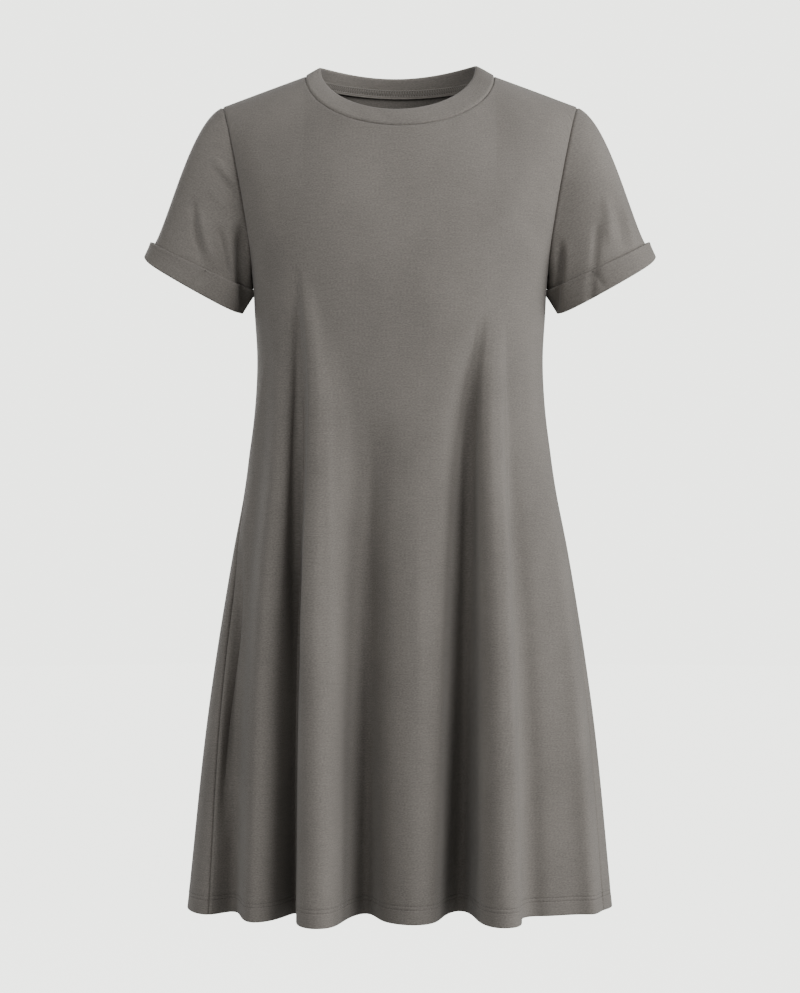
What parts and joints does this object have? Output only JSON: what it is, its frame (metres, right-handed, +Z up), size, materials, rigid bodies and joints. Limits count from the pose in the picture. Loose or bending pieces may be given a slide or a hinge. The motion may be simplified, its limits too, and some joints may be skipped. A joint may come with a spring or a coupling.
{
  "type": "t-shirt dress",
  "caption": "Short-sleeved jersey t-shirt dress with a crew neckband, rolled cuffs and a flared skirt that hangs in soft folds, in its hollow worn form.",
  "frame": {"origin": "midway between the two high shoulder points, where the neckband meets the shoulder seams, at the height of those points", "axes": "+Z up along the body from hem to neck, -Y out of the front, +X towards the wearer's left"},
  "size_m": [0.5356, 0.2456, 0.8768],
  "materials": {
    "jersey": "matte taupe-grey jersey knit with a faint heather",
    "cuff": "the same jersey, doubled, turned up and tacked",
    "neckband": "the same jersey, doubled, with a soft rounded fold"
  },
  "bodies": {
    "root": {"front": "jersey", "back": "jersey", "sleeve_left": "jersey", "sleeve_right": "jersey", "cuff_left": "cuff", "cuff_right": "cuff", "neckband": "neckband"}
  },
  "joints": []
}
